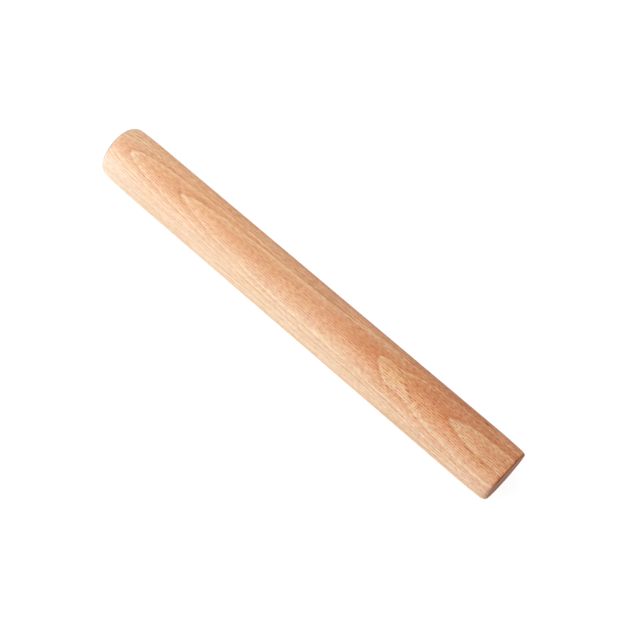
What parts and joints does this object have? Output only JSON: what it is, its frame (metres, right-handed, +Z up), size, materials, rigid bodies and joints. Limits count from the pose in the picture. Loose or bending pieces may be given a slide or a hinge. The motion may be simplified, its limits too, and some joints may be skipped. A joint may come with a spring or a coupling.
{
  "type": "rolling pin",
  "caption": "Straight round beech bar for rolling dumpling wrappers, turned from solid wood, with gently eased ends, softly rounded edges and flat end faces.",
  "frame": {"origin": "middle of the pin on its own axis, which is also the centre of its box; the table it lies on is half a diameter below", "axes": "+X along the pin's axis; +Z up with the pin lying on a table; +Y across it, level"},
  "size_m": [0.28, 0.033, 0.033],
  "materials": {
    "beech": "sanded and lightly oiled, satin"
  },
  "bodies": {
    "root": {"rolling_pin": "beech"}
  },
  "joints": []
}
